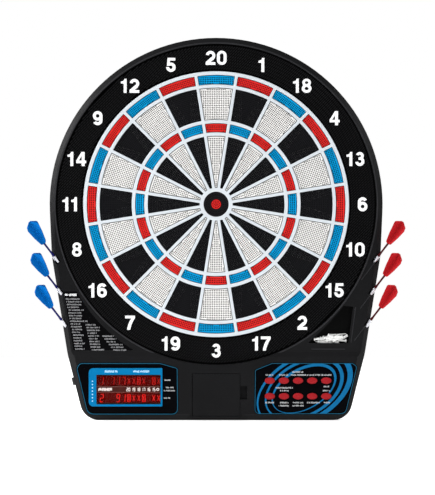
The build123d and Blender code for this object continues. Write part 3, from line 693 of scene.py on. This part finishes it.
def build_shoulder_ribs():
    """Low ribs over the right darts' sockets, and the two lines under the tip pocket, in a grey lighter than
    the housing: painted highlights on real raised ribs.
    """
    shape = Shape()
    lines = [((x - 0.6 * a, z - 0.8 * a), (x - 0.6 * b, z - 0.8 * b))
             for x, z, a, b in ((242.4, -76.0, 12, 45), (236.2, -124.2, 12, 38), (227.6, -171.5, 10, 38))]
    lines += [((141.0, -214.6), (190.5, -214.6)), ((199.8, -205.0), (206.6, -152.5))]
    for start, end in lines:
        start, end = Vector(start), Vector(end)
        side = Vector((-(end - start).y, (end - start).x)).normalized()
        rows = []
        for across, rise in ((-0.8, -0.2), (-0.45, 0.3), (0.45, 0.3), (0.8, -0.2)):
            moved = [p + side * across for p in (start, end)]
            rows.append([(p.x, p.y, CREST_D + rise) for p in moved])
        shape.add([p for row in rows for p in row],
                  [(0, 1, 3, 2), (2, 3, 5, 4), (4, 5, 7, 6), (6, 7, 1, 0), (0, 2, 4, 6), (7, 5, 3, 1)])
    mesh_object("shoulder_ribs", shape.welded(), RIB_PAINTED_HIGHLIGHT, "board")


# ---------------------------------------------------------------- console
DISPLAY_PANEL = rounded(
    ((-203, -234.4), (-82.8, -234.4), (-56.3, -242), (-55.6, -312.2), (-191, -312.2), (-207.6, -243.4)),
    (8, 10, 4, 9, 12, 5))
CONTROL_PANEL = rounded(
    ((56.7, -244.9), (82.4, -234.4), (202.5, -234.4), (209.8, -240), (192.5, -311.5), (56, -311.5)),
    (4, 10, 5, 6, 10, 8))
BUTTON_NAMES = (
    ("game_button", "option_button", "player_button", "handicap_button", "double_button"),
    ("reset_button", "bounce_button", "volume_button", "language_button", "start_button"),
)
BUTTON_X0, BUTTON_PITCH, BUTTON_Z = 79.4, 20.9, (-261.2, -284.2)
BUTTON_HALF = (7.55, 4.7)
INK_BACK, INK_FRONT = CONSOLE_D - 0.05, CONSOLE_D + 0.05
BEZEL_INK = (CONSOLE_D + 0.55, CONSOLE_D + 0.65)
LABEL_INK = (CREST_D - 0.05, CREST_D + 0.04)
LABEL_PITCH = 4.11
SWIRL_CENTRE = (129.8, -273.5)
SWIRL_LEAN = 29.4
SWIRLS = ((74.4, 45.8, 5.2, (1.3, 0.5)), (61.2, 38.2, 3.9, (0.7, 0.4)), (51.0, 29.2, 2.7, (0.3, 0.8)))


def button_places():
    for row, z in zip(BUTTON_NAMES, BUTTON_Z):
        for column, name in enumerate(row):
            yield name, BUTTON_X0 + column * BUTTON_PITCH, z


def build_panels():
    """The printed lines on both panels, and the three open swirls behind the keys."""
    shape = outline_ring(DISPLAY_PANEL, 1.0, 0.9, INK_BACK, INK_FRONT)
    mesh_object("display_outline", shape, PRINT_TEAL, "board")
    shape = outline_ring(CONTROL_PANEL, 1.0, 0.8, INK_BACK, INK_FRONT)
    mesh_object("control_outline", shape, PRINT_TEAL, "board")

    border = inset(CONTROL_PANEL, 1.4)
    keys = [(x, z) for _, x, z in button_places()]
    grown = (BUTTON_HALF[0] + 0.5, BUTTON_HALF[1] + 0.5)
    key_loops = [ellipse(x, z, *grown) for x, z in keys]
    whole = []
    for a, b, width, shift in SWIRLS:
        out_centre = (SWIRL_CENTRE[0] + shift[0], SWIRL_CENTRE[1] + shift[1])
        in_centre = (SWIRL_CENTRE[0] - shift[0], SWIRL_CENTRE[1] - shift[1])
        big, small = (a + width / 2, b + width / 2), (a - width / 2, b - width / 2)

        def keep(x, z):
            return (in_ellipse(x, z, out_centre, *big, SWIRL_LEAN)
                    and not in_ellipse(x, z, in_centre, *small, SWIRL_LEAN)
                    and inside(x, z, border)
                    and not any(in_ellipse(x, z, key, *grown) for key in keys))

        loops = [ellipse(*out_centre, *big, 160, SWIRL_LEAN), ellipse(*in_centre, *small, 160, SWIRL_LEAN),
                 border] + key_loops
        whole.append(plate(loops, keep, INK_BACK, INK_FRONT - 0.02))
    mesh_object("control_swirls", joined(*whole), PRINT_BLUE, "board")


def marks(shape, rng, left, right, z, height, low, high):
    """A printed line as a row of small plain blocks."""
    x = left
    while x < right - 0.5:
        width = rng.uniform(0.75, 1.25)
        if rng.random() < 0.13:
            x += 1.0
        low_z = z - height / 2 + rng.choice((0, 0, 0.18 * height))
        high_z = z + height / 2 - rng.choice((0, 0, 0.22 * height))
        prism(shape, box(x, x + width, low_z, high_z), low, high)
        x += width + 0.42


def build_prints():
    """Plain marks where the panels carry small print."""
    rng = random.Random(7)
    shape = Shape()
    for left, right, z in (
        (73.2, 84.0, -252.8), (93.4, 106.3, -252.8), (109.6, 132.8, -252.8), (134.4, 153.4, -252.8),
        (155.9, 170.8, -252.8), (112.9, 129.4, -248.4), (88.1, 112.1, -271.8), (94.7, 107.1, -276.0),
        (159.2, 167.5, -269.8), (158.0, 169.1, -276.0), (72.9, 85.6, -293.7), (94.7, 106.3, -293.7),
        (113.7, 128.6, -293.7), (133.6, 154.2, -293.7), (159.5, 167.8, -293.7), (92.7, 107.9, -298.3),
        (112.6, 130.3, -298.3),
    ):
        marks(shape, rng, left, right, z, 2.3, INK_BACK, INK_FRONT)
    for left, right, z in (
        (-77.3, -68.0, -260.4), (-74.3, -62.4, -271.5), (-77.4, -60.3, -276.0), (-77.3, -68.8, -286.9),
    ):
        marks(shape, rng, left, right, z, 2.1, INK_BACK, INK_FRONT)
    mesh_object("panel_print", shape, PRINT_GREY, "board")

    shape = Shape()
    title = Shape()
    marks(title, rng, -224.0, -207.0, -134.3, 3.4, *LABEL_INK)
    mesh_object("games_label_title", title, FINISHES["numeral_white"], "board")
    for first, rows, x_top, slope, widths in (
        (-140.4, 9, -222.6, 0.186, (14, 28)), (-177.4, 10, -215.7, 0.186, (11, 18)),
        (-178.6, 10, -193.2, 0.22, (12, 20)), (-195.4, 6, -168.6, 0.79, (12, 20)),
    ):
        for row in range(rows):
            z = first - LABEL_PITCH * row
            left = x_top + slope * LABEL_PITCH * row
            marks(shape, rng, left, left + rng.uniform(*widths), z, 2.2, *LABEL_INK)
    mesh_object("games_label_print", shape, PRINT_DULL, "board")

    shape = Shape()
    for left, right in ((-164.7, -146.0), (-122.6, -99.2)):
        marks(shape, rng, left, right, -247.6, 3.6, *BEZEL_INK)
    for row in range(7):
        prism(shape, circle(0.95, 16, -183.1, -262.0 - 4.9 * row), *BEZEL_INK)
    mesh_object("bezel_print", shape, PRINT_SKY, "board")


# ---------------------------------------------------------------- score display
SEVEN = {
    "0": "abcdef", "1": "bc", "2": "abged", "3": "abgcd", "4": "fgbc", "5": "afgcd", "6": "afgedc",
    "7": "abc", "8": "abcdefg", "9": "abcdfg", " ": "",
}


def bar_shape(shape, a, b, width, low, high):
    """A display segment: a bar with pointed ends."""
    a, b = Vector(a), Vector(b)
    along = (b - a).normalized()
    side = Vector((-along.y, along.x)) * width / 2
    tip = along * width / 2
    loop = [a, a + tip - side, b - tip - side, b, b - tip + side, a + tip + side]
    loop = [tuple(p) for p in loop]
    prism(shape, loop if area(loop) > 0 else loop[::-1], low, high)


def figure(lit, unlit, text, x, z, width, height, stroke, low, high, slant=0.09):
    """One seven-segment figure, its left bottom corner at (x, z)."""
    w, h = width - stroke, height - stroke
    x, z = x + stroke / 2, z + stroke / 2
    lean = lambda u, v: (x + u + slant * v, z + v)
    ends = {
        "a": ((0, h), (w, h)), "b": ((w, h), (w, h / 2)), "c": ((w, h / 2), (w, 0)), "d": ((0, 0), (w, 0)),
        "e": ((0, h / 2), (0, 0)), "f": ((0, h), (0, h / 2)), "g": ((0, h / 2), (w, h / 2)),
    }
    for name, (start, end) in ends.items():
        target = lit if name in SEVEN[text] else unlit
        if target is not None:
            bar_shape(target, lean(*start), lean(*end), stroke, low, high)


def cricket(lit, unlit, x, z, width, height, crossed, ringed, low, high):
    """One scoring mark: a cross inside a box of bars."""
    w, h = width / 2, height / 2
    corners = [(x - w, z - h), (x + w, z - h), (x + w, z + h), (x - w, z + h)]
    for a, b in ((corners[0], corners[2]), (corners[1], corners[3])):
        target = lit if crossed else unlit
        inner = lambda p: (x + (p[0] - x) * 0.8, z + (p[1] - z) * 0.8)
        bar_shape(target, inner(a), inner(b), 0.9, low, high)
    for a, b in zip(corners, corners[1:] + corners[:1]):
        bar_shape(lit if ringed else unlit, a, b, 0.9, low, high)


def build_display():
    low, high = 29.62, 29.9
    bright, dim, off = Shape(), Shape(), Shape()
    rows = ((dim, -268.0, "1 117", (1, 1, 2, 1, 0, 2, 1)), (bright, -293.4, "2  91", (2, 1, 1, 2, 0, 1, 1)))
    for lit, z, text, closed in rows:
        for place, letter in enumerate(text):
            left = -172.8 + 8.1 * place
            figure(lit, off, letter, left, z, 5.6, 12.4, 1.25, low, high)
        for place, count in enumerate(closed):
            x = -129.2 + 7.35 * place
            cricket(lit, off, x, z + 6.2, 4.6, 10.6, count > 0, count > 1, low, high)
    mesh_object("display_digits_dim", dim, LED_DIM, "board")
    mesh_object("display_digits_bright", bright, FINISHES["led_red"], "board")
    mesh_object("display_digits_off", off, LED_OFF, "board")

    faces = Shape()
    for low_z, high_z in ((-269.4, -253.6), (-294.3, -278.6)):
        for column in range(6):
            left = -177.3 + 15.85 * column
            loop = rounded(box(left, left + 15.6, low_z, high_z), (0.5,) * 4, 2)
            prism(faces, loop, low - 0.1, low + 0.02)
    mesh_object("display_faces", faces, LED_FACE, "board")

    front = 32.0
    left, right, bottom, top = -177.2, -82.3, -278.4, -270.3
    strip = Shape()
    prism(strip, box(left, right, bottom, top), front - 0.02, front + 0.05)
    mesh_object("display_strip", strip, STRIP_BROWN, "board")
    edges = Shape()
    for z in (top, bottom):
        prism(edges, box(left, right, z - 0.2, z + 0.2), front, front + 0.1)
    mesh_object("display_strip_edges", edges, PRINT_ROSE, "board")
    ink = Shape()
    for place, number in enumerate((20, 19, 18, 17, 16, 15)):
        x = -133.0 + 7.45 * place
        for offset, letter in zip((0, 3.05), str(number)):
            figure(ink, None, letter, x + offset, -277.1, 2.7, 5.5, 0.85, front, front + 0.1, slant=0)
    x, z = -86.4, -274.3
    ring_shape = plate([circle(2.1, 32, x, z), circle(1.2, 32, x, z)],
                       lambda px, pz: hypot(px - x, pz - z) > 1.19, front, front + 0.1)
    ink.add(ring_shape.points, ring_shape.faces)
    marks(ink, random.Random(3), -174.5, -154.0, -274.3, 4.6, front, front + 0.1)
    mesh_object("display_strip_print", ink, PRINT_PALE, "board")


def build_buttons():
    """Soft domed oval keys."""
    a, b = BUTTON_HALF
    for name, x, z in button_places():
        shape = Shape()
        rings = [at(ellipse(x, z, a - cut, b - cut), depth) for cut, depth in (
            (-1.2, 29.3), (-1.2, 30.9), (0, 30.9), (0, 35.0), (0.12, 35.35), (0.45, 35.65), (1.1, 35.84),
            (2.2, 35.95), (3.3, 36.0))]
        shape.face(rings[0][::-1])
        for first, second in zip(rings, rings[1:]):
            shape.strip(first, second)
        shape.face(rings[-1])
        mesh_object(name + "_cap", shape.welded(), FINISHES["button_red"], name + "_body",
                    [name], smooth=40)


# ---------------------------------------------------------------- darts
DART_JOINTS = ((240.6, -76.8), (235.6, -124.2), (229.4, -171.4))
DART_DEPTH = 27.5
DART_LEAN = atan2(0.6, 0.8)
DART_TILT = radians(12.0)


def dart_frame(side, joint):
    """Turns (across, up, along) on a dart into a point in the frame, in metres."""
    along = Vector((-side * sin(DART_LEAN) * cos(DART_TILT), sin(DART_TILT),
                    -cos(DART_LEAN) * cos(DART_TILT)))
    across = Vector((cos(DART_LEAN), 0, -side * sin(DART_LEAN)))
    up = along.cross(across)
    origin = Vector((side * joint[0], -DART_DEPTH, joint[1]))
    return lambda u, v, w: origin + across * u + up * v + along * w


def lathe(profile, steps, ripple=None):
    """Turns (along, radius) pairs round the dart's axis."""
    points, faces = [], []
    count = len(profile)
    for step in range(steps):
        angle = 2 * pi * step / steps
        for along, radius in profile:
            r = radius * (1 + (ripple(step) if ripple else 0))
            points.append((r * cos(angle), r * sin(angle), along))
    for step in range(steps):
        other = (step + 1) % steps
        for i in range(count - 1):
            faces.append((step * count + i, other * count + i, other * count + i + 1, step * count + i + 1))
    faces.append([step * count for step in reversed(range(steps))])
    faces.append([step * count + count - 1 for step in range(steps)])
    return points, faces


BARREL = [(0, 2.1), (0.4, 2.75), (1.0, 2.95)]
for groove in range(15):
    start = 1.6 + groove * 2.3
    BARREL += [(start, 2.95), (start + 0.15, 2.6), (start + 0.65, 2.6), (start + 0.8, 2.95)]
BARREL += [(37.0, 2.95), (38.8, 2.7), (40.0, 2.3)]
TIP = [(39.6, 2.2), (41.0, 2.3), (44.6, 2.2), (45.2, 1.7), (48.0, 1.25), (53.0, 1.0), (62.0, 0.85),
       (71.0, 0.7), (74.2, 0.5), (75.0, 0.15)]
STEM = [(-27.0, 0.8), (-26.6, 1.4), (-24.5, 1.5), (-23.6, 1.75), (-22.0, 1.55), (-12.0, 1.4), (-5.0, 1.55),
        (-3.2, 1.9), (-0.6, 1.9), (0.2, 1.6)]
SPINE = [(-63.0, 0.4), (-62.4, 0.8), (-36.0, 0.9), (-29.0, 1.7), (-24.4, 2.0), (-24.0, 1.85)]
VANE = [(0.9, -63.3), (1.4, -63.5), (12.1, -56.8), (13.0, -55.7), (13.5, -54.4), (13.4, -53.0),
        (10.6, -39.5), (6.4, -26.6), (5.6, -25.2), (4.0, -24.2), (2.0, -23.8), (0.9, -24.2)]
FLIGHT_SKEW = 0.06          # the soft flights sit a little steeper than their stems


def dart_object(name, mesh, place, body, slot, node, smooth):
    shape = Shape()
    points, faces = mesh
    for u, v, w in points:
        p = place(u, v, w)
        shape.points.append((p.x, p.z, -p.y))
    shape.faces = [tuple(face) for face in faces]
    mesh_object(name, shape.welded(1e-5), FINISHES[slot], body, [node], smooth=smooth)


def vane_mesh(side):
    """Four thin vanes that bulge a little, with a spine where they cross."""
    points, faces = [], []
    count = len(VANE)
    for turn in range(4):
        angle = radians(45 + 90 * turn)
        c, s = cos(angle), sin(angle)
        start = len(points)
        for thick in (0.16, -0.16):
            for r, along in VANE:
                bow = 0.35 * sin(pi * min(r, 14) / 14)
                points.append((r * c - (thick + bow) * s, r * s + (thick + bow) * c, along))
        faces.append([start + i for i in range(count)])
        faces.append([start + count + i for i in reversed(range(count))])
        for i in range(count):
            k = (i + 1) % count
            faces.append((start + i, start + count + i, start + count + k, start + k))
    spine, spine_faces = lathe(SPINE, 16)
    start = len(points)
    points += spine
    faces += [[start + i for i in face] for face in spine_faces]
    points = [(u + side * FLIGHT_SKEW * (w + 24), v, w) for u, v, w in points]
    return points, faces


def knurl(step):
    """The barrel's fine ripple, as a part of its radius."""
    return 0.012 if step % 2 else -0.012


def build_darts():
    for side, word in ((-1, "left"), (1, "right")):
        stem, flight = (("stem_navy", "flight_blue"), ("stem_red", "flight_red"))[side > 0]
        for height, joint in zip(("top", "middle", "bottom"), DART_JOINTS):
            node = f"dart_{word}_{height}"
            place = dart_frame(side, joint)
            for part, mesh, slot, smooth in (
                ("barrel", lathe(BARREL, 32, knurl), "barrel_steel", 35),
                ("tip", lathe(TIP, 16), "tip_white", 35),
                ("stem", lathe(STEM, 20), stem, 35), ("flight", vane_mesh(side), flight, 25),
            ):
                dart_object(f"{node}_{part}", mesh, place, node + "_body", slot, node, smooth)


# ---------------------------------------------------------------- spare tips
def build_tips():
    """A loose pile of spare tips at the bottom of the open pocket, in three layers."""
    tip_count, layer, length = 36, 12, 24
    rng = random.Random(11)
    pocket = [(189, -150.4), (166.5, -176.5), (136, -205.7), (143, -206), (143, -216), (187, -216),
              (187, -206), (196, -205.7), (203, -151.9)]
    profile = [(0, 1.2), (0.2, 2.2), (1.8, 2.35), (2.0, 1.6), (8.0, 1.6), (8.6, 1.15), (14.0, 0.9),
               (21.0, 0.7), (23.4, 0.45), (length, 0.12)]
    shape = Shape()
    made, tries = 0, 0
    while made < tip_count and tries < 9000:
        tries += 1
        depth = 23.0 + 2.2 * (made // layer)
        x, z = rng.uniform(139, 195), rng.uniform(-214, -192)
        angle = radians(rng.choice((0, 180)) + rng.gauss(0, 30))
        end = (x + length * cos(angle), z + length * sin(angle))
        if depth > 25.4 and min(z, end[1]) < -203.5:
            continue
        ceiling = -193.5 + 2.5 * sin(x / 5)
        if max(z, end[1]) > ceiling:
            continue
        if not all(inside(px + dx, pz + dz, pocket) for px, pz in ((x, z), end)
                   for dx, dz in ((2.4, 0), (-2.4, 0), (0, 2.4), (0, -2.4))):
            continue
        made += 1
        rise = rng.uniform(-0.5, 0.5)
        points, faces = lathe(profile, 12)
        c, s = cos(angle), sin(angle)
        start = len(shape.points)
        for u, v, w in points:
            shape.points.append((x + w * c - u * s, z + w * s + u * c, depth + v + rise * w / length))
        shape.faces += [tuple(start + i for i in face) for face in faces]
    mesh_object("spare_tips_pile", shape.welded(1e-5), FINISHES["tip_white"], "board",
                ["spare_tips"], smooth=35)


# ---------------------------------------------------------------- CAD nodes that stay
def soften(node, width):
    """Rounds a CAD piece's edges."""
    piece = NODES[node]
    weld = piece.modifiers.new("weld", "WELD")
    weld.merge_threshold = 1e-6
    bevel = piece.modifiers.new("rounding", "BEVEL")
    bevel.width = width * MM
    bevel.segments = 2
    bevel.limit_method = "ANGLE"
    bevel.angle_limit = radians(30)
    bevel.use_clamp_overlap = True
    bevel.harden_normals = True


def dress_nodes():
    slots = {row["node"]: row["material_slot"] for row in frame["record"]["subparts"]}
    for node, piece in NODES.items():
        finish = FINISHES[slots[node]]
        if not piece.material_slots:
            piece.data.materials.append(finish.material)
        for slot in piece.material_slots:
            slot.material = finish.material


# ---------------------------------------------------------------- stage, lights, camera
def area_light(name, place, target, size, power):
    light = bpy.data.lights.new(name, "AREA")
    light.shape = "RECTANGLE"
    light.size, light.size_y = size
    light.energy = power
    lamp = bpy.data.objects.new(name, light)
    bpy.context.scene.collection.objects.link(lamp)
    lamp.location = place
    lamp.rotation_mode = "QUATERNION"
    lamp.rotation_quaternion = (Vector(target) - Vector(place)).to_track_quat("-Z", "Y")


def build_stage():
    floor_z = cad_low.z - 0.0005
    mesh = bpy.data.meshes.new("floor")
    rim = at(circle(1.9, 96, 0, 0.4), floor_z)
    mesh.from_pydata(rim, [], [range(len(rim))])
    floor = bpy.data.objects.new("floor", mesh)
    bpy.context.scene.collection.objects.link(floor)
    finish = plastic("floor_pale", linear(250, 250, 250), 0.8, 0.01, 400, 0.02, 3)
    finish.set("Specular IOR Level", 0.1)
    finish.set("Emission Color", (1, 1, 1, 1))
    finish.set("Emission Strength", 0.42)
    mesh.materials.append(finish.material)

    world = bpy.data.worlds.new("studio")
    world.use_nodes = True
    nodes, links = world.node_tree.nodes, world.node_tree.links
    nodes.clear()
    out = nodes.new("ShaderNodeOutputWorld")
    seen, lit = nodes.new("ShaderNodeBackground"), nodes.new("ShaderNodeBackground")
    seen.inputs["Color"].default_value = (1, 1, 1, 1)
    seen.inputs["Strength"].default_value = 1.0
    lit.inputs["Color"].default_value = (0.93, 0.96, 1, 1)
    lit.inputs["Strength"].default_value = 0.2
    choose, path = nodes.new("ShaderNodeMixShader"), nodes.new("ShaderNodeLightPath")
    links.new(path.outputs["Is Camera Ray"], choose.inputs[0])
    links.new(lit.outputs[0], choose.inputs[1])
    links.new(seen.outputs[0], choose.inputs[2])
    links.new(choose.outputs[0], out.inputs["Surface"])
    bpy.context.scene.world = world

    middle = (0, -0.03, -0.04)
    for name, place, size, power in (
        ("key", (-1.7, -1.9, 1.5), (1.3, 1.3), 40), ("fill", (1.9, -2.0, 0.5), (1.4, 1.6), 18),
        ("top", (0.1, -0.7, 2.2), (2.0, 0.9), 14), ("side_left", (-2.1, -0.12, 0.85), (0.9, 1.5), 60),
        ("side_right", (2.1, -0.12, 0.85), (0.9, 1.5), 10), ("back_left", (-1.6, 1.8, 1.2), (1.2, 1.2), 30),
        ("back_right", (1.8, 1.7, 0.9), (1.2, 1.2), 24),
    ):
        area_light(name, place, middle, size, power)

    scene = bpy.context.scene
    scene.view_settings.view_transform = "Standard"
    scene.view_settings.look = "None"


def build_camera():
    """A long lens straight in front, close to a parallel view."""
    camera = bpy.data.cameras.new("camera")
    camera.sensor_width = 36.0
    camera.lens = 200.0
    camera.clip_end = 100
    view_height = 0.7334
    eye = bpy.data.objects.new("camera", camera)
    bpy.context.scene.collection.objects.link(eye)
    distance = view_height * camera.lens / camera.sensor_width
    centre = (0.0020, -0.030, -0.0641)
    eye.location = (centre[0], centre[1] - distance, centre[2])
    eye.rotation_euler = (radians(90), 0, 0)
    bpy.context.scene.camera = eye


dress_nodes()
build_segments()
build_bulls()
build_catch_ring()
build_recess_lip()
build_shoulder_ribs()
build_panels()
build_prints()
build_display()
build_buttons()
build_darts()
build_tips()
for node, width in (("spider", 0.8), ("display_bezel", 0.4), ("storage_door", 0.35), ("dc_jack", 0.3),
                    ("rear_cover", 0.4)):
    soften(node, width)
build_stage()
build_camera()
